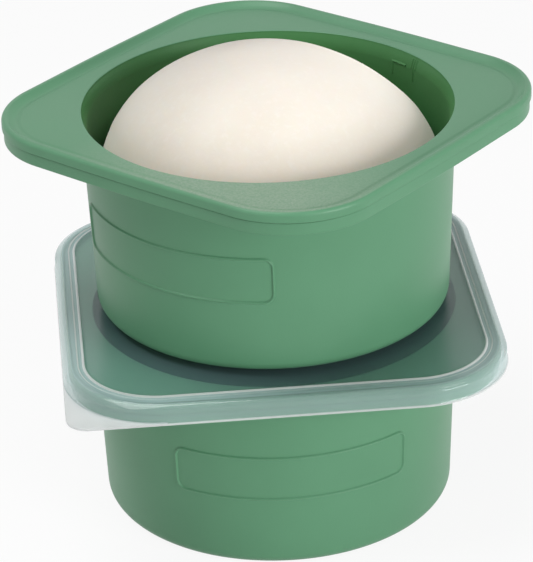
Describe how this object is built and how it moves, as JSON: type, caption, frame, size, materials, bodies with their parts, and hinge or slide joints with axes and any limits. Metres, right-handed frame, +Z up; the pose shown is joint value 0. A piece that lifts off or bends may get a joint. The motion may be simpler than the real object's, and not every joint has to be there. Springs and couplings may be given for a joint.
{
  "type": "dough proofing container",
  "caption": "Stack of soft round dough proofing cups with square flanges, a clear snap lid between them and a risen ball of dough in the open upper cup.",
  "frame": {"origin": "centre of the lower container's foot, on the surface that the stack stands on", "axes": "+Z up through the stack; -Y is the front of the lower container, the side under which its label frame lies; +X to the right seen from there"},
  "size_m": [0.1602, 0.1602, 0.1449],
  "materials": {
    "container_silicone": "soft matte moulded silicone",
    "lid_plastic": "clear milky snap-lid plastic, glossy",
    "dough": "smooth floured dough"
  },
  "bodies": {
    "lower_container": {"lower_container": "container_silicone"},
    "lid": {"lid": "lid_plastic"},
    "upper_container": {"upper_container": "container_silicone"},
    "dough": {"dough": "dough"}
  },
  "joints": [
    {"name": "lid_lift", "type": "slide", "parent": "lower_container", "child": "lid", "axis": [0, 0, 1], "range_m": [0, 0.03]},
    {"name": "upper_lift", "type": "slide", "parent": "lid", "child": "upper_container", "axis": [0, 0, 1], "range_m": [0, 0.03]},
    {"name": "dough_lift", "type": "slide", "parent": "upper_container", "child": "dough", "axis": [0, 0, 1], "range_m": [0, 0.08]}
  ]
}
